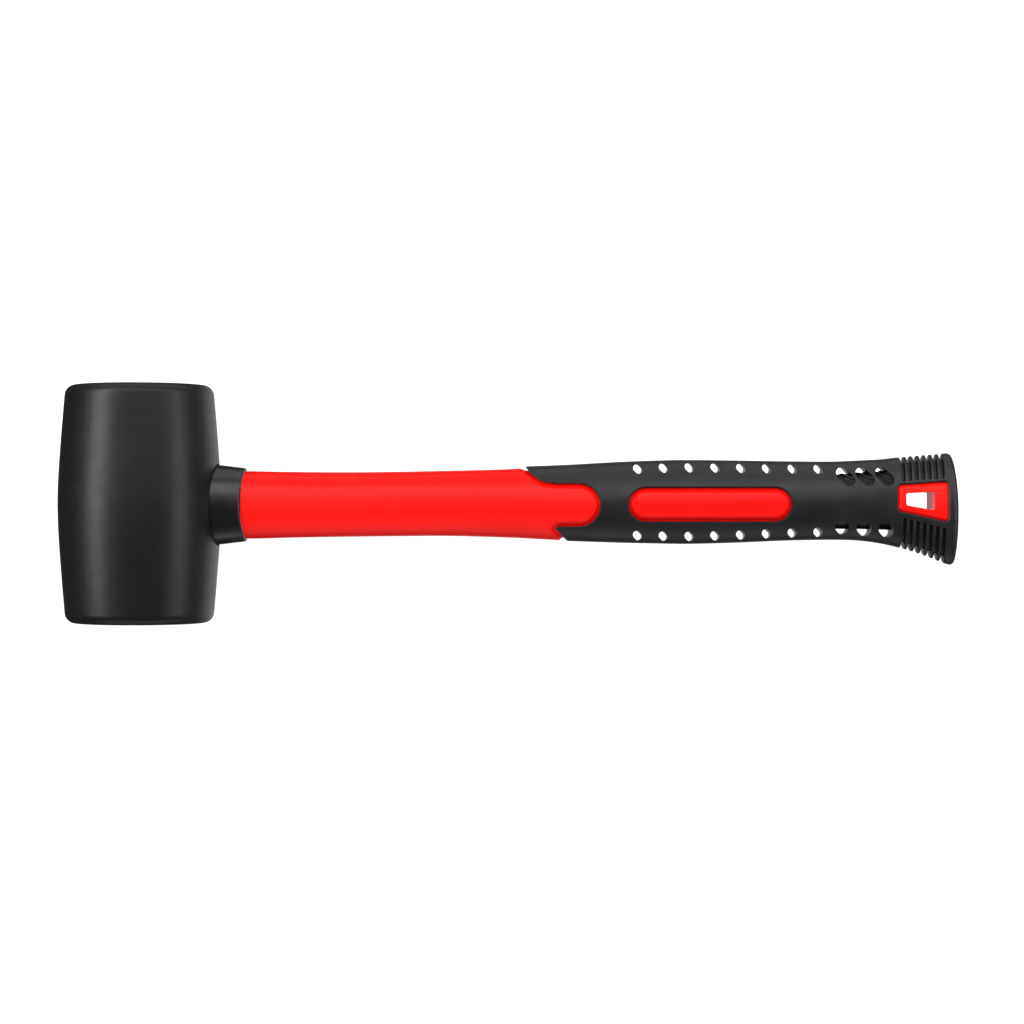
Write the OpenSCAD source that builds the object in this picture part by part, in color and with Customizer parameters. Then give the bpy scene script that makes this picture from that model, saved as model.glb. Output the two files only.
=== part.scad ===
// Rubber mallet: a solid moulded barrel head on a fibreglass-cored handle with a
// two-colour moulded grip. It lies on its side: +X runs along the handle from the
// head to the butt, +Y runs along the head's axis, and +Z is up. The origin is under
// the middle of the bounding box, on the surface that the mallet lies on.

/* [Head] */
// Largest diameter of the barrel, at its middle
head_d = 63.2; // [62.4:0.2:68]
// Diameter of the barrel beside its striking faces
head_end_d = 57.8; // [55:0.2:60]
// Length of the barrel between its two striking faces
head_len = 92.6; // [84:0.2:110]
// Radius of the rounded edge round each striking face
head_edge_r = 3.8; // [2:0.1:5]
// Depth of the handle's eye past the axis of the head
eye_past = 18; // [10:1:22]

/* [Neck collar] */
// Width of the collar where it enters the head
collar_w = 31.4; // [30:0.2:34]
// Thickness of the collar where it enters the head
collar_t = 25.6; // [24.4:0.2:28]
// Distance of the collar's rim from the axis of the head
collar_rim_x = 41.7; // [39:0.1:46]
// How far the rim stands proud of the shaft
collar_proud = 1.1; // [0.6:0.1:1.6]

/* [Handle] */
// Thickness of the bare shaft
shaft_t = 21; // [19.6:0.2:21.6]
// Diameter of the fibreglass core
core_d = 12; // [10:0.2:13]
// Distance from the axis of the head to the end of the butt
handle_reach = 318.2; // [318:0.2:320.4]
// Depth of the step between a raised red panel and its border
panel_step = 1; // [0.4:0.1:1.2]

/* [Grip] */
// Largest thickness of the grip
grip_t = 23.6; // [23.2:0.2:26]
// Thickness of the butt at the lanyard hole
butt_t = 21.6; // [20.8:0.2:23]
// Number of through-holes along each edge of the grip
hole_count = 8; // [4:1:8]
// Width of each through-hole
hole_w = 3; // [2:0.1:3.4]
// Width of each groove across the butt
groove_w = 1.2; // [0.8:0.1:1.5]
// Depth of each groove
groove_depth = 2.4; // [1.2:0.1:2.6]

/* [Hidden] */
gap = 0.1;            // bond line between neighbouring pieces
sides = 36;           // points round each section
x_mid = (handle_reach - head_d / 2) / 2;
z_mid = head_d / 2;
head_r = head_d / 2;
eye_shoulder = 22;    // where the wide mouth of the eye meets its narrow part

// Stations: [distance from the head's axis, upper edge, lower edge, half thickness, squareness]
tang_st = [
    [-30, 12.3, -12.3, shaft_t / 2 - 0.7, 2.6],
    [22, 12.3, -12.3, shaft_t / 2 - 0.7, 2.6],
    [24, 12.6, -12.8, shaft_t / 2 - 0.1, 2.5],
    [42, 12.8, -13.5, shaft_t / 2 + 0.1, 2.4],
    [60, 12.5, -13.1, shaft_t / 2, 2.3],
    [80, 12.4, -12.8, shaft_t / 2, 2.3],
    [100, 12.6, -12.6, shaft_t / 2, 2.3],
    [120, 13, -12.5, shaft_t / 2, 2.3],
    [140, 13.5, -13, shaft_t / 2, 2.2],
    [150, 14, -13.4, shaft_t / 2, 2.1],
    [165, 14.6, -14.2, grip_t / 2 - 1.2, 2],
    [185, 15.4, -14.8, grip_t / 2 - 1, 1.9]];
grip_st = [
    [140, 14.4, -13.4, grip_t / 2 - 0.7, 2],
    [150, 14.7, -13.8, grip_t / 2 - 0.6, 2],
    [168, 15.4, -14.5, grip_t / 2 - 0.4, 1.9],
    [186, 16.4, -15.1, grip_t / 2 - 0.1, 1.8],
    [205, 17.1, -15.5, grip_t / 2, 1.8],
    [214, 17.2, -15.6, grip_t / 2, 1.8],
    [233, 17, -15.1, grip_t / 2 - 0.1, 1.8],
    [252, 16.7, -14.3, grip_t / 2 - 0.4, 1.8],
    [270, 16.6, -14, grip_t / 2 - 0.9, 1.8],
    [280, 17, -14.3, grip_t / 2 - 1.1, 1.9],
    [289, 17.5, -15.5, butt_t / 2 - 0.1, 2.1],
    [296, 18.3, -17.1, butt_t / 2, 2.2],
    [304, 19, -19.5, butt_t / 2, 2.1],
    [309, 19.4, -21.4, butt_t / 2, 2],
    [314, 19.8, -23.3, butt_t / 2, 2],
    [317, 19.9, -24, butt_t / 2, 2]];
core_st = [
    [140, 11.4, -10.8, 8.6, 2.4],
    [190, 11.6, -10.3, 8.6, 2.2],
    [214, 11.8, -10.3, 8.6, 2.2],
    [235, 11.6, -10, 8.6, 2.2],
    [255, 10.9, -9, 8.4, 2.2],
    [270, 10.7, -8.8, 8.2, 2.2],
    [292, 12.1, -9.2, 8, 2.4],
    [314, 12.4, -10.4, 7.8, 2.6]];

// Smooth value of column c of a station table at x
function seg(st, x, i = 0) = i >= len(st) - 2 || x < st[i + 1][0] ? i : seg(st, x, i + 1);
function slope(st, i, c) = let (a = max(0, i - 1), b = min(len(st) - 1, i + 1))
    (st[b][c] - st[a][c]) / (st[b][0] - st[a][0]);
function at(st, x, c) = let (i = seg(st, x), h = st[i + 1][0] - st[i][0],
    t = min(1, max(0, (x - st[i][0]) / h)), u = 1 - t)
    st[i][c] * u * u * (1 + 2 * t) + st[i + 1][c] * t * t * (3 - 2 * t)
    + h * slope(st, i, c) * t * u * u - h * slope(st, i + 1, c) * t * t * u;
function spow(v, p) = v < 0 ? -pow(-v, p) : pow(v, p);
// One closed section across the handle, grown by g
function ring(x, top, bottom, half, n, g = 0) = let (yc = (top + bottom) / 2, h = (top - bottom) / 2 + g)
    [for (k = [0:sides - 1]) let (a = 360 * (k + 0.5) / sides)
        [x, yc + h * spow(cos(a), 2 / n), (half + g) * spow(sin(a), 2 / n)]];
function station(st, x, g = 0) = ring(x, at(st, x, 1), at(st, x, 2), at(st, x, 3), at(st, x, 4), g);

module place() { translate([-x_mid, 0, z_mid]) children(); }
function quads(n, i, j) = [for (k = [0:n - 1]) let (q = (k + 1) % n)
    each [[i * n + k, j * n + k, j * n + q], [i * n + k, j * n + q, i * n + q]]];
// Solid skin through a row of sections
module loft(rings) {
    n = len(rings[0]);
    m = len(rings);
    polyhedron([for (r = rings) each r], concat(
        [[for (k = [0:n - 1]) k]],
        [for (i = [0:m - 2]) each quads(n, i, i + 1)],
        [[for (k = [n - 1:-1:0]) (m - 1) * n + k]]));
}
// The same for a tube: the rings run out along the outside and back along the bore
module tube(rings) {
    n = len(rings[0]);
    m = len(rings);
    polyhedron([for (r = rings) each r], [for (i = [0:m - 1]) each quads(n, i, (i + 1) % m)]);
}
// A flat outline in X and Y, right through the handle
module through(h = 80) { translate([0, 0, -h / 2]) linear_extrude(h) children(); }

// Outlines on the face of the handle
module tongue() {
    hull() {
        translate([171.1, -0.4]) circle(r = 8.4, $fn = 40);
        translate([150, -8.8]) square([2, 16.8]);
    }
}
// The red that shows in front of the grip: the shaft and the tongue that runs under it
module red_front(inset = 0) {
    offset(delta = -inset) union() {
        polygon([[120, 30], [149.8, 30], [150.2, 15.4], [151.2, 13.6], [153.2, 11.2], [156.2, 9.2],
            [159.6, 8.2], [162.6, 8], [162.6, -8.8], [162, -9.4], [166.8, -14.6], [173.6, -22], [173.6, -30], [120, -30]]);
        tongue();
    }
}
module oval(inset = 0) {
    hull() {
        translate([196.8, -0.25]) circle(r = 6.6 - inset, $fn = 40);
        translate([246.8, -0.25]) circle(r = 6.6 - inset, $fn = 40);
    }
}
// The eye of the lanyard hole: a trapezoid with round corners
module trapezoid(pts, r) { hull() for (p = pts) translate(p) circle(r = r, $fn = 24); }
module eye_outline(grow = 0) { trapezoid([[295.6, 6.1], [312.8, 7.3], [312.8, -5.4], [295.6, -1.6]], 1.4 + grow); }
module lanyard_outline() { trapezoid([[298.3, 3.3], [307.7, 3.8], [307.7, -1.5], [298.3, 0.2]], 0.8); }

function head_radius(y) = head_r - (head_r - head_end_d / 2) * (sqrt(y * y + 240) - sqrt(240))
    / (sqrt(pow(head_len / 2 - head_edge_r, 2) + 240) - sqrt(240));
// Solid rubber barrel, slightly crowned, with flat striking faces and a blind oval eye
module head() {
    edge_y = head_len / 2 - head_edge_r;
    color([0.16, 0.16, 0.16]) place() difference() {
        rotate([-90, 0, 0]) rotate_extrude($fn = 96) polygon(concat(
            [[0, -head_len / 2]],
            [for (a = [-90:15:-15]) [head_radius(edge_y) - head_edge_r + head_edge_r * cos(a), -edge_y + head_edge_r * sin(a)]],
            [for (i = [-8:8]) [head_radius(i * edge_y / 8), i * edge_y / 8]],
            [for (a = [15:15:90]) [head_radius(edge_y) - head_edge_r + head_edge_r * cos(a), edge_y + head_edge_r * sin(a)]],
            [[0, head_len / 2]]));
        // wide mouth for the collar, then the narrow eye for the tang
        translate([eye_shoulder, 0, 0]) rotate([90, 0, 90]) linear_extrude(head_d)
            polygon([for (p = ring(0, collar_w / 2 - 0.3, -collar_w / 2 - 0.3, collar_t / 2, 2.2, gap)) [p[1], p[2]]]);
        translate([-eye_past, 0, 0]) rotate([90, 0, 90]) linear_extrude(eye_past + eye_shoulder + 1)
            polygon([for (p = station(tang_st, -eye_past, gap)) [p[1], p[2]]]);
    }
}

function saddle(r, z) = sqrt(r * r - z * z);
function collar_ring(f, w, t, n) = [for (p = ring(0, w / 2 - 0.3, -w / 2 - 0.3, t / 2, n)) [f < 0 ? -f : f == 0
    ? saddle(head_r, p[2]) - 0.2 : collar_rim_x - f - 65 + saddle(65, p[2]), p[1], p[2]]];
function rim_bore(g) = [for (p = station(tang_st, collar_rim_x, g)) [collar_rim_x - 65 + saddle(65, p[2]), p[1], p[2]]];
// Tapering rubber boss that seals the handle where it enters the head
module neck_collar() {
    rim_w = at(tang_st, collar_rim_x, 1) - at(tang_st, collar_rim_x, 2) + 2 * collar_proud;
    rim_t = 2 * at(tang_st, collar_rim_x, 3) + 2 * collar_proud;
    color([0.18, 0.18, 0.18]) place() tube([
        collar_ring(-eye_shoulder - 0.2, collar_w, collar_t, 2.2),
        collar_ring(0, collar_w, collar_t, 2.2),
        collar_ring(1.4, rim_w + 0.4, rim_t + 0.4, 2.2),
        collar_ring(0.5, rim_w, rim_t, 2.2),
        collar_ring(0.01, rim_w - 1, rim_t - 1, 2.3),
        rim_bore(gap),
        station(tang_st, 34, gap),
        station(tang_st, 28, gap),
        station(tang_st, 24, gap),
        station(tang_st, eye_shoulder + 0.2, gap)]);
}

// Glass-fibre rod that stiffens the handle from the eye to the butt
module fibreglass_core() {
    color([0.85, 0.82, 0.7]) place() translate([-eye_past + 3, 0, 0]) rotate([0, 90, 0])
        cylinder(d = core_d, h = 281 + eye_past - 3, $fn = 48);
}

// Red plastic round the core: tang, shaft, tongue, oval panels and lanyard eye
module handle_jacket() {
    color([0.92, 0.08, 0.06]) place() difference() {
        union() {
            // shaft, with its raised panel and the border that it steps down to
            loft([for (x = [-eye_past + 0.2, 0, 20, 22, 24, 28, 34, 42, 50, 60, 70, 80, 90, 100, 110, 120, 126]) station(tang_st, x)]);
            intersection() {
                loft([for (x = [125, 130, 135, 140, 145, 150, 155, 160, 165, 170, 175, 180, 184]) station(tang_st, x)]);
                through() red_front(2.1);
            }
            intersection() {
                loft([for (x = [125, 130, 135, 140, 145, 150, 155, 160, 165, 170, 175, 180, 184]) station(tang_st, x, -panel_step)]);
                through() red_front(0);
            }
            // body under the grip
            loft([for (x = [125, 145, 165, 180, 190, 200, 214, 225, 235, 245, 255, 262, 270, 280, 292, 303, 314]) station(core_st, x)]);
            // oval panels, front and back
            intersection() {
                loft([for (x = [188, 194, 200, 206, 214, 222, 230, 238, 246, 252, 256]) station(grip_st, x, -0.4)]);
                through() oval(2.1);
            }
            intersection() {
                loft([for (x = [188, 194, 200, 206, 214, 222, 230, 238, 246, 252, 256]) station(grip_st, x, -0.4 - panel_step)]);
                through() oval(0);
            }
            // eye round the lanyard hole
            intersection() {
                loft([for (x = [293, 296, 300, 304, 309, 314, 317]) station(grip_st, x, -0.4)]);
                through() eye_outline();
            }
        }
        through() lanyard_outline();
        translate([-eye_past - 1, 0, 0]) rotate([0, 90, 0]) cylinder(d = core_d + 2 * gap, h = 282.2 + eye_past, $fn = 48);
        // shallow notches across the tang, which the head's rubber keys into
        for (x = [-8, 2, 12], s = [-1, 1]) hull() for (e = [-1, 1])
            translate([x, s * 13, 5 * e]) sphere(r = 1.6, $fn = 16);
    }
}

// A slanted hole with round ends through the edge of the grip
module slant(x, y, w, reach) {
    hull() for (s = [-1, 1]) translate([x + s * reach, y - s * reach, -20]) cylinder(d = w, h = 40, $fn = 24);
}
module grip_sleeve() {
    butt_scale = [for (d = [[2.6, 0], [1.6, 0.5], [0.9, 1.2], [0.35, 2.4], [0.1, 5], [0, 8]]) d];
    color([0.2, 0.2, 0.2]) place() difference() {
        loft(concat(
            [for (x = [149.5, 155, 161, 168, 174, 180, 186, 192, 198, 205, 214, 223, 233, 243, 252, 261, 270, 275, 280, 285, 289, 293, 296, 300, 304, 309, 313]) station(grip_st, x)],
            [for (d = butt_scale) station(grip_st, handle_reach - d[0], -d[1])]));
        // bore over the jacket, with its windows
        loft([for (x = [125, 145, 165, 180, 190, 200, 214, 225, 235, 245, 255, 262, 270, 280, 292, 303, 314.1]) station(core_st, x, gap)]);
        through() red_front(-gap);
        through() oval(-gap);
        through() eye_outline(gap);
        // through-holes along both edges
        for (i = [0:hole_count - 1]) let (x = 194 + 70 * i / (hole_count - 1)) {
            slant(x, at(grip_st, x, 1) - 3.2, hole_w, 0.36);
            slant(x, at(grip_st, x, 2) + 3, hole_w, 0.36);
        }
        // slots near the butt, which leave a skin over the jacket
        difference() {
            union() for (i = [0:2]) {
                slant(274.3 + 7.5 * i, 10.65, 4.5, 1.3);
                slant(273.1 + 8.45 * i, -9.05 - 0.5 * i, 5, i == 0 ? 0.3 : 0.5);
            }
            loft([for (x = [262, 270, 280, 292, 303]) station(core_st, x, 0.9)]);
        }
        // grooves round both edges of the butt
        difference() {
            for (i = [0:6]) {
                translate([296.65 + 2.53 * i - groove_w / 2, 8.9 + 0.18 * i, -20]) cube([groove_w, 30, 40]);
                translate([296.95 + 2.56 * i - groove_w / 2, -35.4 - 0.65 * i, -20]) cube([groove_w, 30, 40]);
            }
            loft([for (x = [293, 300, 308, 317]) station(grip_st, x, -groove_depth)]);
        }
    }
}

head();
neck_collar();
fibreglass_core();
handle_jacket();
grip_sleeve();
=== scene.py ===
import math

import bpy
import numpy as np
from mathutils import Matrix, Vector


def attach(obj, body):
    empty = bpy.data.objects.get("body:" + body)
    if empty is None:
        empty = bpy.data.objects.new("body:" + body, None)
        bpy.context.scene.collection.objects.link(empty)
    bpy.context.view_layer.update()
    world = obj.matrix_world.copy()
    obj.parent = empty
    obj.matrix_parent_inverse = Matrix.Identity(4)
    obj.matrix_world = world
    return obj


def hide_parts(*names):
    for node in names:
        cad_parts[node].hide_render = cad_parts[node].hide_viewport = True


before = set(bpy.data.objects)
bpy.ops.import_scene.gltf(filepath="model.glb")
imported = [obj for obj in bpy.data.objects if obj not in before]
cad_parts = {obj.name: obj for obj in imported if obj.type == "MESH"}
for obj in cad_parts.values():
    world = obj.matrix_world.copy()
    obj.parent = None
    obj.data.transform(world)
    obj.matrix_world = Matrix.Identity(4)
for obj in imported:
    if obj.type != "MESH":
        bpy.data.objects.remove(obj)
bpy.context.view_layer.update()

MM = 0.001
X_MID, Z_MID = 143.3, 31.6  # the head's axis lies at x = -X_MID and the handle's mid-plane at z = Z_MID, in mm

# ---------------------------------------------------------------- sections
# Stations along the handle, in mm from the head's axis: [x, upper edge, lower edge, half thickness, squareness]
TANG = [
    [-30, 12.3, -12.3, 9.8, 2.6], [22, 12.3, -12.3, 9.8, 2.6], [24, 12.6, -12.8, 10.4, 2.5],
    [42, 12.8, -13.5, 10.6, 2.4], [60, 12.5, -13.1, 10.5, 2.3], [80, 12.4, -12.8, 10.5, 2.3],
    [100, 12.6, -12.6, 10.5, 2.3], [120, 13, -12.5, 10.5, 2.3], [140, 13.5, -13, 10.5, 2.2],
    [150, 14, -13.4, 10.5, 2.1], [165, 14.6, -14.2, 10.6, 2], [185, 15.4, -14.8, 10.8, 1.9]]
GRIP = [
    [140, 14.4, -13.4, 11.1, 2], [150, 14.7, -13.8, 11.2, 2], [168, 15.4, -14.5, 11.4, 1.9],
    [186, 16.4, -15.1, 11.7, 1.8], [205, 17.1, -15.5, 11.8, 1.8], [214, 17.2, -15.6, 11.8, 1.8],
    [233, 17, -15.1, 11.7, 1.8], [252, 16.7, -14.3, 11.4, 1.8], [270, 16.6, -14, 10.9, 1.8],
    [280, 17, -14.3, 10.7, 1.9], [289, 17.5, -15.5, 10.7, 2.1], [296, 18.3, -17.1, 10.8, 2.2],
    [304, 19, -19.5, 10.8, 2.1], [309, 19.4, -21.4, 10.8, 2], [314, 19.8, -23.3, 10.8, 2],
    [317, 19.9, -24, 10.8, 2], [322, 20.0, -24.6, 10.8, 2]]
CORE = [
    [140, 11.4, -10.8, 8.6, 2.4], [190, 11.6, -10.3, 8.6, 2.2], [214, 11.8, -10.3, 8.6, 2.2],
    [235, 11.6, -10, 8.6, 2.2], [255, 10.9, -9, 8.4, 2.2], [270, 10.7, -8.8, 8.2, 2.2],
    [292, 12.1, -9.2, 8, 2.4], [314, 12.4, -10.4, 7.8, 2.6]]


def smooth_table(st):
    """The stations joined by smooth curves, sampled every quarter of a millimetre."""
    st = np.array(st, float)
    xs = np.arange(st[0, 0], st[-1, 0] + 0.01, 0.25)
    n = len(st)
    a, b = np.maximum(np.arange(n) - 1, 0), np.minimum(np.arange(n) + 1, n - 1)
    slope = (st[b, 1:] - st[a, 1:]) / (st[b, :1] - st[a, :1])
    i = np.clip(np.searchsorted(st[:, 0], xs, side="right") - 1, 0, n - 2)
    h = (st[i + 1, 0] - st[i, 0])[:, None]
    t = np.clip((xs[:, None] - st[i, :1]) / h, 0, 1)
    u = 1 - t
    v = (st[i, 1:] * u * u * (1 + 2 * t) + st[i + 1, 1:] * t * t * (3 - 2 * t)
         + h * slope[i] * t * u * u - h * slope[i + 1] * t * t * u)
    return xs, v


TANG_T, GRIP_T, CORE_T = smooth_table(TANG), smooth_table(GRIP), smooth_table(CORE)


def section_values(table, x):
    xs, v = table
    return [np.interp(x, xs, v[:, c]) for c in range(4)]


def section(table, x, y, z):
    """Distance, to first order, from the swept section. Negative inside."""
    top, bottom, half, n = section_values(table, x)
    yc, h = (top + bottom) / 2, (top - bottom) / 2
    return oval_distance((y - yc), z, h, half, n)


def oval_distance(y, z, h, t, n):
    u, v = np.abs(y / h) + 1e-6, np.abs(z / t) + 1e-6
    f = (u ** n + v ** n) ** (1 / n)
    gu, gv = (u / f) ** (n - 1) / h, (v / f) ** (n - 1) / t
    return (f - 1) / np.sqrt(gu * gu + gv * gv)


def isect(a, b, r):
    """Intersection with a fillet of radius r along the edge."""
    return np.minimum(-r, np.maximum(a, b)) + np.hypot(np.maximum(a + r, 0), np.maximum(b + r, 0))


def union(a, b, r):
    return -isect(-a, -b, r)


def polygon_distance(pts, x, y):
    """Signed distance from a closed outline in X and Y. Negative inside."""
    pts = np.array(pts, float)
    best = np.full(np.broadcast(x, y).shape, 1e9)
    inside = np.zeros(best.shape, bool)
    for (ax, ay), (bx, by) in zip(pts, np.roll(pts, -1, 0)):
        ex, ey = bx - ax, by - ay
        wx, wy = x - ax, y - ay
        t = np.clip((wx * ex + wy * ey) / (ex * ex + ey * ey), 0, 1)
        best = np.minimum(best, (wx - t * ex) ** 2 + (wy - t * ey) ** 2)
        if ay != by:
            cross = (ay > y) != (by > y)
            inside ^= cross & (x < (bx - ax) * (y - ay) / (by - ay) + ax)
    return np.where(inside, -1, 1) * np.sqrt(best)


def arc(cx, cy, r, a0, a1, n):
    return [(cx + r * math.cos(math.radians(a)), cy + r * math.sin(math.radians(a))) for a in np.linspace(a0, a1, n)]


def curve_through(pts, n):
    """A smooth curve through given points."""
    p = np.array(pts, float)
    out = []
    for i in range(len(p) - 1):
        a, b = p[i], p[i + 1]
        ta = (p[min(i + 1, len(p) - 1)] - p[max(i - 1, 0)]) / 2
        tb = (p[min(i + 2, len(p) - 1)] - p[i]) / 2
        for t in np.linspace(0, 1, n, endpoint=False):
            u = 1 - t
            out.append(a * u * u * (1 + 2 * t) + b * t * t * (3 - 2 * t) + ta * t * u * u - tb * t * t * u)
    return [tuple(q) for q in out]


# The black grip's front edge, seen from its face: tip, sweep down to the tongue, round its end, back to the
# lower corner and out to the lower edge
FRONT = ([(-60, 32), (148.8, 32), (149.5, 17.0)]
         + curve_through([(150.2, 14.9), (151.5, 13.1), (153.4, 11.2), (155.8, 9.5), (158.2, 8.55), (161.0, 8.1)], 5)
         + [(163.0, 7.98)] + arc(171.1, -0.42, 8.4, 90, -90, 24)
         + [(163.2, -8.82), (162.5, -9.0), (162.35, -9.6), (166.8, -14.6), (173.6, -22.3), (173.6, -32), (-60, -32)])
OVAL_A, OVAL_B, OVAL_R = 196.8, 246.8, 6.6
EYE = [(295.6, 6.1), (312.8, 7.3), (312.8, -5.4), (295.6, -1.6)]
LANYARD = [(298.3, 3.3), (307.7, 3.8), (307.7, -1.5), (298.3, 0.2)]


def front_d(x, y):
    return polygon_distance(FRONT, x, y)


def oval_d(x, y):
    dx = x - np.clip(x, OVAL_A, OVAL_B)
    return np.hypot(dx, y + 0.25) - OVAL_R


def eye_d(x, y):
    return polygon_distance(EYE, x, y) - 1.4


def lanyard_d(x, y):
    return polygon_distance(LANYARD, x, y) - 0.8


def shaft_d(x, y, z):
    return section(TANG_T, x, y, z)


def grip_outer(x, y, z):
    d = section(GRIP_T, x, y, z)
    end = x - (318.2 - np.where(y > -3.3, 0.0037, 0.0022) * (y + 3.3) ** 2 - 0.004 * z * z)
    return isect(d, end, 1.9)


def core_d(x, y, z):
    return np.maximum(section(CORE_T, np.clip(x, 141, 314), y, z), np.maximum(125 - x, x - 314))


# ---------------------------------------------------------------- the pieces, as distances
HEAD_R, HEAD_END_R, HEAD_HALF, EDGE_R = 31.6, 28.9, 46.3, 3.8


def head_radius(y):
    s = math.sqrt(240)
    return HEAD_R - (HEAD_R - HEAD_END_R) * (np.sqrt(y * y + 240) - s) / (math.sqrt((HEAD_HALF - EDGE_R) ** 2 + 240) - s)


def head_f(x, y, z):
    d = isect(np.hypot(x, z) - head_radius(y), np.abs(y) - HEAD_HALF, EDGE_R)
    mouth = np.maximum(oval_distance(y + 0.3, z, 16.05, 13.45, 2.2), 22 - x)
    d = isect(d, -mouth, 0.4)
    eye = np.maximum(oval_distance(y, z, 12.4, 9.9, 2.6), np.maximum(-18 - x, x - 30))
    return np.maximum(d, -eye)


def collar_f(x, y, z):
    k = np.clip((x - 29.5) / (41.7 - 29.5), 0, 1)
    d = oval_distance(y + 0.3, z, 15.7 - 1.45 * k, 12.8 - 1.0 * k, 2.2)
    rim = x - (41.7 - 40 + np.sqrt(40 ** 2 - np.minimum(z * z, 900)))
    d = isect(d, rim, 0.6)
    d = np.maximum(d, 22.2 - x)
    return isect(d, -(shaft_d(x, y, z) - 0.06), 0.2)


def jacket_f(x, y, z):
    e = -front_d(x, y)
    s = shaft_d(np.minimum(x, 184), y, z)
    ramp = np.clip((2.1 - e) / 1.5, 0, 1)
    d = np.maximum(s + 1.0 * ramp, -e + 0.04)
    d = np.maximum(d, -17.8 - x)
    d = np.minimum(d, core_d(x, y, z))
    g = section(GRIP_T, np.maximum(x, 141), y, z)
    e = -oval_d(x, y)
    pad = np.maximum(g + 0.35 + 1.2 * np.clip((2.1 - e) / 1.5, 0, 1), -e + 0.04)
    d = np.minimum(d, pad)
    e = -eye_d(x, y)
    eye = np.maximum(g + 0.35 + 0.8 * np.clip((1.1 - e) / 0.9, 0, 1), -e + 0.04)
    d = np.minimum(d, eye)
    d = isect(d, -lanyard_d(x, y), 0.3)
    rod = np.maximum(np.hypot(y, z) - 6.1, x - 281.2)
    return np.maximum(d, -rod)


def slant_d(x, y, cx, cy, w, reach):
    """An obround hole whose long axis falls to the right."""
    s = math.sqrt(0.5)
    px, py = (x - cx), (y - cy)
    along, across = (px - py) * s, (px + py) * s
    along = along - np.clip(along, -reach, reach)
    return np.hypot(along, across) - w


def holes_d(x, y):
    i = np.clip(np.round((x - 194) / 10), 0, 7)
    cx = 194 + 10 * i
    top, bottom = section_values(GRIP_T, cx)[:2]
    return np.minimum(slant_d(x, y, cx, top - 3.2, 1.48, 0.5), slant_d(x, y, cx - 0.1, bottom + 3.0, 1.48, 0.5))


def slots_d(x, y):
    i = np.clip(np.round((x - 274.3) / 7.5), 0, 2)
    upper = slant_d(x, y, 274.3 + 7.5 * i, 10.65, 2.25, 1.85)
    i = np.clip(np.round((x - 273.1) / 8.35), 0, 2)
    lower = slant_d(x, y, 273.1 + 8.45 * i, -9.05 - 0.5 * i, 2.45, 0.35 + 0.25 * np.minimum(i, 1))
    return np.minimum(upper, lower)


def grooves_d(x, y, outer):
    i = np.clip(np.round((x - 296.65) / 2.53), 0, 6)
    upper = isect(np.abs(x - (296.65 + 2.53 * i)) - 0.6, (8.9 + 0.18 * i) - y, 0.5)
    i = np.clip(np.round((x - 296.95) / 2.56), 0, 6)
    lower = isect(np.abs(x - (296.95 + 2.56 * i)) - 0.6, y - (-5.4 - 0.65 * i), 0.5)
    return isect(np.minimum(upper, lower), -(outer + 2.4), 0.3)


def grip_f(x, y, z):
    outer = grip_outer(x, y, z)
    d = isect(outer, -front_d(x, y), 0.3)
    d = isect(d, -oval_d(x, y), 0.45)
    d = isect(d, -eye_d(x, y), 0.45)
    d = isect(d, -holes_d(x, y), 0.3)
    core = core_d(x, y, z)
    skin = 0.9 + np.where(y > 0, 0.2, 0) * np.sin((y * 0.94 + x * 0.34) * 2 * math.pi / 1.25)
    d = isect(d, -isect(slots_d(x, y), -(core - skin), 0.2), 0.35)
    d = isect(d, -grooves_d(x, y, outer), 0.6)
    d = np.maximum(d, 146 - x)
    return np.maximum(d, -(core - 0.06))


# ---------------------------------------------------------------- meshing
def surface_nets(field, xs, ys, zs):
    """Quads round the zero level of a sampled field."""
    inside = field < 0
    n = inside.view(np.uint8)
    count = sum(n[i:n.shape[0] - 1 + i, j:n.shape[1] - 1 + j, k:n.shape[2] - 1 + k]
                for i in (0, 1) for j in (0, 1) for k in (0, 1))
    active = (count > 0) & (count < 8)
    index = np.full(active.shape, -1, np.int32)
    ci, cj, ck = np.nonzero(active)
    index[ci, cj, ck] = np.arange(len(ci))
    total, hits = np.zeros((len(ci), 3)), np.zeros(len(ci))
    corners = [(i, j, k) for i in (0, 1) for j in (0, 1) for k in (0, 1)]
    for a in corners:
        for axis in range(3):
            if a[axis]:
                continue
            b = list(a)
            b[axis] = 1
            fa = field[ci + a[0], cj + a[1], ck + a[2]]
            fb = field[ci + b[0], cj + b[1], ck + b[2]]
            cut = (fa < 0) != (fb < 0)
            t = np.where(cut, fa / np.where(cut, fa - fb, 1), 0)
            pa = np.stack([xs[ci + a[0]], ys[cj + a[1]], zs[ck + a[2]]], 1)
            pb = np.stack([xs[ci + b[0]], ys[cj + b[1]], zs[ck + b[2]]], 1)
            total += np.where(cut[:, None], pa + (pb - pa) * t[:, None], 0)
            hits += cut
    verts = total / hits[:, None]
    quads = []
    for axis in range(3):
        a = [slice(1, -1)] * 3
        b = [slice(1, -1)] * 3
        a[axis], b[axis] = slice(0, -1), slice(1, None)
        fa, fb = inside[tuple(a)], inside[tuple(b)]
        for way in (0, 1):
            where = np.nonzero(fa & ~fb if way == 0 else ~fa & fb)
            p = [w + (0 if k == axis else 1) for k, w in enumerate(where)]
            u, v = [k for k in range(3) if k != axis]
            ring = []
            for du, dv in ((-1, -1), (0, -1), (0, 0), (-1, 0)):
                q = [w.copy() for w in p]
                q[u] += du
                q[v] += dv
                ring.append(index[q[0], q[1], q[2]])
            if (axis == 1) != (way == 1):
                ring.reverse()
            quads.append(np.stack(ring, 1))
    return verts, np.concatenate(quads)


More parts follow.
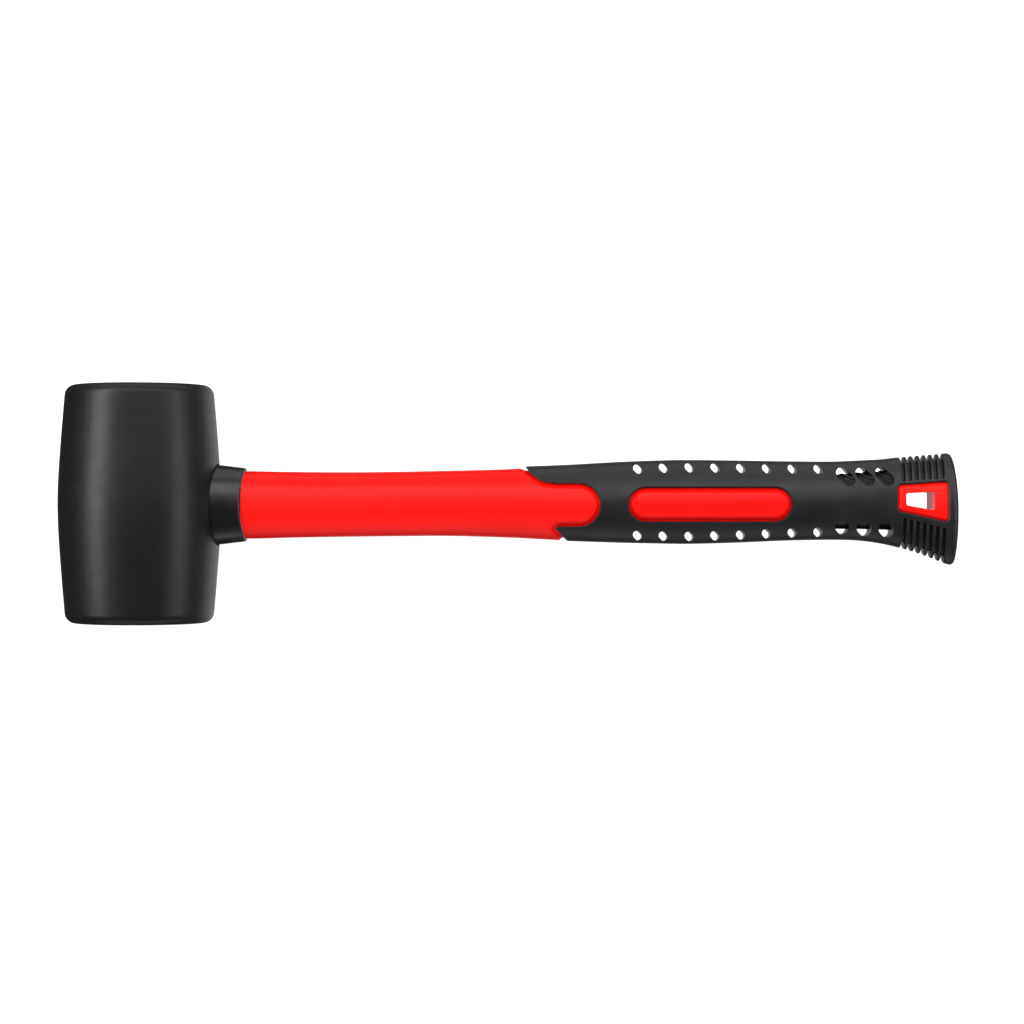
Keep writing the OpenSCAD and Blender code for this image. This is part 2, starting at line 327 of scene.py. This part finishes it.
def gradient(f, p, h=0.02):
    g = np.empty_like(p)
    for a in range(3):
        hi, lo = p.copy(), p.copy()
        hi[:, a] += h
        lo[:, a] -= h
        g[:, a] = (f(hi[:, 0], hi[:, 1], hi[:, 2]) - f(lo[:, 0], lo[:, 1], lo[:, 2])) / (2 * h)
    return g


def settle(f, p, rounds, cap):
    """Moves points onto the zero level."""
    for _ in range(rounds):
        v = f(p[:, 0], p[:, 1], p[:, 2])
        g = gradient(f, p)
        step = -v[:, None] * g / np.maximum((g * g).sum(1), 0.25)[:, None]
        size = np.linalg.norm(step, axis=1)
        p = p + step * np.minimum(1, cap / np.maximum(size, 1e-9))[:, None]
    return p


def mesh_of(name, verts, faces):
    me = bpy.data.meshes.new(name)
    me.vertices.add(len(verts))
    me.vertices.foreach_set("co", np.ascontiguousarray(verts, np.float32).ravel())
    me.loops.add(faces.size)
    me.loops.foreach_set("vertex_index", np.ascontiguousarray(faces, np.int32).ravel())
    me.polygons.add(len(faces))
    me.polygons.foreach_set("loop_start", np.arange(0, faces.size, faces.shape[1], dtype=np.int32))
    me.update(calc_edges=True)
    me.validate()
    return me


def solid(name, f, xs, ys, zs, faces_kept, h):
    """Meshes the field f, thins the mesh to about faces_kept triangles, and sets it back on the surface."""
    field = np.empty((len(xs), len(ys), len(zs)), np.float32)
    half = len(zs) // 2  # the pieces are alike front and back
    for i in range(0, len(xs), 64):
        v = f(xs[i:i + 64, None, None], ys[None, :, None], zs[None, None, half:])
        field[i:i + 64, :, half:] = v
    field[:, :, :half] = field[:, :, ::-1][:, :, :half]
    verts, quads = surface_nets(field, xs, ys, zs)
    verts = settle(f, verts, 2, h * 0.5)
    me = mesh_of(name, (verts - [X_MID, 0, -Z_MID]) * MM, quads)
    ob = bpy.data.objects.new(name, me)
    bpy.context.scene.collection.objects.link(ob)
    triangles = 2 * len(quads)
    if faces_kept < triangles:
        mod = ob.modifiers.new("thin", "DECIMATE")
        mod.ratio = faces_kept / triangles
        mod.use_collapse_triangulate = True
        dg = bpy.context.evaluated_depsgraph_get()
        new = bpy.data.meshes.new_from_object(ob.evaluated_get(dg))
        ob.modifiers.clear()
        ob.data = new
        bpy.data.meshes.remove(me)
        me = new
        me.name = name
        co = np.empty(len(me.vertices) * 3, np.float32)
        me.vertices.foreach_get("co", co)
        p = co.reshape(-1, 3).astype(float) / MM + [X_MID, 0, -Z_MID]
        p = settle(f, p, 2, h * 0.5)
        me.vertices.foreach_set("co", np.ascontiguousarray((p - [X_MID, 0, -Z_MID]) * MM, np.float32).ravel())
    else:
        p = verts
    me.polygons.foreach_set("use_smooth", np.ones(len(me.polygons), bool))
    me.update()
    g = gradient(f, p, 0.05)
    g /= np.maximum(np.linalg.norm(g, axis=1), 1e-9)[:, None]
    # a point in a crease, where the field's slope jumps, keeps the mesh's own normal
    own = np.empty(len(me.vertices) * 3, np.float32)
    me.vertices.foreach_get("normal", own)
    own = own.reshape(-1, 3)
    agree = (own * g).sum(1)
    g[agree < 0.9] = own[agree < 0.9]
    me.normals_split_custom_set_from_vertices(g.astype(np.float32).tolist())
    print("MESH", name, len(me.polygons), "faces")
    return ob


def steps(lo, hi, h):
    return np.linspace(lo, hi, int(round((hi - lo) / h)) + 1)


def even(lo_hi, h):
    """An even number of samples, alike on both sides of zero."""
    n = int(math.ceil(lo_hi / h))
    return (np.arange(-n, n) + 0.5) * h


K = 1.0
hx = np.concatenate([steps(-33, 24, 0.55 * K), steps(24, 33.5, 0.3 * K)[1:]])
hy = np.concatenate([steps(-47.5, -17.5, 0.55 * K), steps(-17.5, 17, 0.3 * K)[1:], steps(17, 47.5, 0.55 * K)[1:]])
head = solid("head_barrel", head_f, hx, hy, even(33, 0.4 * K), 70000, 0.55 * K)
collar = solid("neck_boss", collar_f, steps(21, 43, 0.3 * K), steps(-17, 17, 0.3 * K), even(14, 0.3 * K), 26000, 0.3 * K)
jx = np.concatenate([steps(-19, 144, 1.4 * K), steps(144, 316, 0.34 * K)[1:]])
jacket = solid("red_jacket", jacket_f, jx, steps(-15.6, 16.2, 0.34 * K), even(13.9, 0.34 * K), 90000, 0.34 * K)
grip = solid("soft_grip", grip_f, steps(147.5, 321, 0.33 * K), steps(-26, 21.6, 0.33 * K), even(14.3, 0.33 * K), 150000, 0.33 * K)


# ---------------------------------------------------------------- materials
class Nodes:
    """A short way to write a node material."""

    def __init__(self, name):
        self.mat = bpy.data.materials.new(name)
        self.mat.use_nodes = True
        self.tree = self.mat.node_tree
        self.tree.nodes.clear()
        self.out = self.add("ShaderNodeOutputMaterial")
        self.bsdf = self.add("ShaderNodeBsdfPrincipled")
        self.link(self.bsdf.outputs[0], self.out.inputs[0])
        self.coord = self.add("ShaderNodeTexCoord").outputs["Object"]

    def add(self, kind, **props):
        n = self.tree.nodes.new(kind)
        for k, v in props.items():
            setattr(n, k, v)
        return n

    def link(self, a, b):
        self.tree.links.new(a, b)

    def scaled(self, s):
        m = self.add("ShaderNodeMapping")
        m.inputs["Scale"].default_value = s
        self.link(self.coord, m.inputs["Vector"])
        return m.outputs[0]

    def noise(self, scale, detail=2.0, rough=0.5, stretch=(1, 1, 1), distortion=0.0):
        n = self.add("ShaderNodeTexNoise")
        n.inputs["Scale"].default_value = scale
        n.inputs["Detail"].default_value = detail
        n.inputs["Roughness"].default_value = rough
        n.inputs["Distortion"].default_value = distortion
        self.link(self.scaled(stretch), n.inputs["Vector"])
        return n.outputs["Fac"]

    def ramp(self, value, stops):
        r = self.add("ShaderNodeValToRGB")
        el = r.color_ramp.elements
        while len(el) < len(stops):
            el.new(0.5)
        for e, (pos, col) in zip(el, stops):
            e.position = pos
            e.color = (*col, 1) if len(col) == 3 else col
        self.link(value, r.inputs["Fac"])
        return r.outputs["Color"]

    def spread(self, value, lo, hi, a=0.0, b=1.0):
        m = self.add("ShaderNodeMapRange")
        m.inputs["From Min"].default_value, m.inputs["From Max"].default_value = a, b
        m.inputs["To Min"].default_value, m.inputs["To Max"].default_value = lo, hi
        self.link(value, m.inputs["Value"])
        return m.outputs[0]

    def math(self, op, a, b):
        m = self.add("ShaderNodeMath", operation=op)
        for s, v in ((m.inputs[0], a), (m.inputs[1], b)):
            if isinstance(v, (int, float)):
                s.default_value = v
            else:
                self.link(v, s)
        return m.outputs[0]

    def bump(self, height, strength, distance, under=None):
        b = self.add("ShaderNodeBump")
        b.inputs["Strength"].default_value = strength
        b.inputs["Distance"].default_value = distance
        self.link(height, b.inputs["Height"])
        if under is not None:
            self.link(under, b.inputs["Normal"])
        return b.outputs[0]

    def set(self, **values):
        for k, v in values.items():
            s = self.bsdf.inputs[k.replace("_", " ")]
            if isinstance(v, bpy.types.NodeSocket):
                self.link(v, s)
            else:
                s.default_value = v
        return self.mat


def rubber(name, dark, light, r_lo, r_hi, rings, shine=0.5):
    n = Nodes(name)
    cloud = n.noise(38, 4, 0.6)
    speck = n.noise(900, 2, 0.6)
    mix = n.math("ADD", n.math("MULTIPLY", cloud, 0.75), n.math("MULTIPLY", speck, 0.25))
    color = n.ramp(mix, [(0.32, dark), (0.68, light)])
    patch = n.noise(120, 3, 0.6)
    if rings:  # fine marks that run round the barrel
        patch = n.math("ADD", n.math("MULTIPLY", patch, 0.5), n.math("MULTIPLY", n.noise(1.0, 3, 0.6, (6, rings, 6)), 0.5))
    rough = n.spread(patch, r_lo, r_hi, 0.35, 0.65)
    fine = n.bump(n.noise(1500, 3, 0.65), 0.25, 0.00008)
    soft = n.bump(n.noise(70, 3, 0.5), 0.25, 0.0003, fine)
    top = n.bump(n.noise(1.0, 3, 0.6, (3, rings, 3)), 0.2, 0.0002, soft) if rings else soft
    return n.set(Base_Color=color, Roughness=rough, Normal=top, IOR=1.5, Specular_IOR_Level=shine)


def plastic(name):
    n = Nodes(name)
    cloud = n.noise(30, 3, 0.5)
    color = n.ramp(cloud, [(0.3, (0.84, 0.0034, 0.0021)), (0.7, (0.92, 0.0046, 0.0029))])
    rough = n.spread(n.noise(160, 3, 0.6), 0.34, 0.42, 0.3, 0.7)
    fine = n.bump(n.noise(1100, 2, 0.6), 0.12, 0.00005)
    soft = n.bump(n.noise(45, 2, 0.5), 0.2, 0.0003, fine)
    return n.set(Base_Color=color, Roughness=rough, Normal=soft, IOR=1.49, Specular_IOR_Level=0.2)


def grip_rubber(name):
    n = Nodes(name)
    cloud = n.noise(45, 4, 0.6)
    speck = n.noise(1300, 2, 0.6)
    mix = n.math("ADD", n.math("MULTIPLY", cloud, 0.6), n.math("MULTIPLY", speck, 0.4))
    color = n.ramp(mix, [(0.3, (0.0055, 0.0055, 0.0057)), (0.7, (0.0105, 0.0105, 0.0109))])
    rough = n.spread(n.noise(110, 4, 0.65), 0.36, 0.52, 0.3, 0.7)
    grain = n.bump(n.noise(1800, 3, 0.7), 0.4, 0.0001)
    soft = n.bump(n.noise(90, 3, 0.5), 0.2, 0.0003, grain)
    return n.set(Base_Color=color, Roughness=rough, Normal=soft, IOR=1.5, Specular_IOR_Level=0.65)


def fibreglass(name):
    n = Nodes(name)
    strand = n.noise(1.0, 4, 0.6, (30, 2600, 2600))
    color = n.ramp(strand, [(0.3, (0.55, 0.50, 0.33)), (0.7, (0.78, 0.74, 0.56))])
    rough = n.spread(strand, 0.3, 0.55, 0.3, 0.7)
    return n.set(Base_Color=color, Roughness=rough, Normal=n.bump(strand, 0.3, 0.0001), IOR=1.52)


HEAD_MAT = rubber("head_rubber", (0.0045, 0.0045, 0.0046), (0.0075, 0.0075, 0.0076), 0.375, 0.435, 520)
COLLAR_MAT = rubber("collar_rubber", (0.0030, 0.0030, 0.0031), (0.0055, 0.0055, 0.0056), 0.30, 0.42, 0, 1.0)
RED_MAT = plastic("red_plastic")
GRIP_MAT = grip_rubber("grip_rubber")
CORE_MAT = fibreglass("fibreglass")

for ob, mat, node, slot in ((head, HEAD_MAT, "head", "head_rubber"), (collar, COLLAR_MAT, "neck_collar", "collar_rubber"),
                            (jacket, RED_MAT, "handle_jacket", "red_plastic"), (grip, GRIP_MAT, "grip_sleeve", "grip_rubber")):
    ob.data.materials.clear()
    ob.data.materials.append(mat)
    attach(ob, "root")
    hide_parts(node)
jacket.visible_glossy = False  # keeps the red out of the sheen on the black rubber
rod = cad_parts["fibreglass_core"]
for s in rod.material_slots:
    s.material = CORE_MAT
if not rod.material_slots:
    rod.data.materials.append(CORE_MAT)

# ---------------------------------------------------------------- stage
scene = bpy.context.scene
scene.view_settings.view_transform = "Standard"
scene.view_settings.look = "None"


def floor_material():
    """Plain white paper, lit from behind a little so that shadows on it stay faint."""
    n = Nodes("floor_paper")
    color = n.ramp(n.noise(3, 3, 0.5), [(0.3, (0.38, 0.38, 0.38)), (0.7, (0.42, 0.42, 0.42))])
    return n.set(Base_Color=color, Roughness=0.9, Normal=n.bump(n.noise(400, 2, 0.5), 0.1, 0.0001),
                 Specular_IOR_Level=0.0, Emission_Color=(1, 1, 1, 1), Emission_Strength=0.97)


# a round sheet that curves up into a wall all round
rows = [(0.0, 0.0), (0.6, 0.0), (1.4, 0.0), (2.4, 0.0)] + [
    (2.4 + 1.6 * math.sin(math.radians(a)), 1.6 - 1.6 * math.cos(math.radians(a))) for a in range(10, 91, 10)] + [(4.0, 6.0)]
fv, ff, seg = [(0, 0, 0)], [], 64
for r, z in rows[1:]:
    fv += [(r * math.cos(2 * math.pi * k / seg), r * math.sin(2 * math.pi * k / seg), z) for k in range(seg)]
for k in range(seg):
    ff.append((0, 1 + k, 1 + (k + 1) % seg))
for i in range(len(rows) - 2):
    for k in range(seg):
        a0, b0 = 1 + i * seg + k, 1 + i * seg + (k + 1) % seg
        ff.append((a0, a0 + seg, b0 + seg, b0))
fm = bpy.data.meshes.new("floor")
fm.from_pydata(fv, [], ff)
fm.polygons.foreach_set("use_smooth", np.ones(len(fm.polygons), bool))
floor = bpy.data.objects.new("floor", fm)
scene.collection.objects.link(floor)
fm.materials.append(floor_material())
floor.visible_diffuse = False
floor.visible_glossy = False
floor.visible_shadow = False

world = bpy.data.worlds.new("studio")
scene.world = world
world.use_nodes = True
bg = world.node_tree.nodes["Background"]
bg.inputs[0].default_value = (1, 1, 1, 1)
bg.inputs[1].default_value = 0.05


def soft_box(name, azimuth, tilt, distance, across, along, radiance, target=(0, 0, 0.03)):
    """A rectangular light seen from target at azimuth (0 is +X, 90 is +Y) and tilt from straight up."""
    a, t = math.radians(azimuth), math.radians(tilt)
    at = Vector(target) + distance * Vector((math.sin(t) * math.cos(a), math.sin(t) * math.sin(a), math.cos(t)))
    light = bpy.data.lights.new(name, "AREA")
    light.shape = "RECTANGLE"
    light.size, light.size_y = along, across
    light.energy = radiance * math.pi * along * across
    ob = bpy.data.objects.new(name, light)
    scene.collection.objects.link(ob)
    ob.location = at
    ob.rotation_euler = (Vector(target) - at).to_track_quat("-Z", "Y").to_euler()
    ob.visible_camera = False
    return ob


HEAD_AT = (-0.144, 0, 0.03)
soft_box("left_strip", 163, 54, 1.0, 0.31, 1.0, 6.6, HEAD_AT)
soft_box("right_strip", 10, 66, 1.0, 0.20, 1.0, 4.2, HEAD_AT)
soft_box("top_box", 90, 36, 1.2, 0.62, 1.8, 1.7)
soft_box("back_box", 90, 80, 1.3, 0.50, 2.0, 0.9)
soft_box("rim_back", 90, 106, 1.3, 0.36, 2.0, 1.2)
soft_box("low_front", 270, 92, 1.2, 0.60, 1.8, 0.65)
soft_box("low_right", 0, 126, 1.0, 0.70, 1.6, 0.25, HEAD_AT)
soft_box("under_card", 0, 180, 0.3, 0.4, 0.4, 0.8, (0.11, 0, 0.03))
for number, (azimuth, tilt, radiance) in enumerate([(90, 24, 2.3), (180, 35, 0.4), (270, 55, 1.2), (270, 98, 0.7)]):
    fill = soft_box("fill_%d" % number, azimuth, tilt, 1.6, 1.2, 1.8, radiance)
    fill.visible_glossy = False

camera = bpy.data.cameras.new("camera")
camera.sensor_width = 36
camera.lens = 36 * 1014 / (1024 * 0.39)
cam = bpy.data.objects.new("camera", camera)
scene.collection.objects.link(cam)
cam.location = ((145.2 - X_MID) * MM, -3.12 * MM, (Z_MID + 1014) * MM)
cam.rotation_euler = (0, 0, 0)
camera.clip_start, camera.clip_end = 0.05, 20
scene.camera = cam
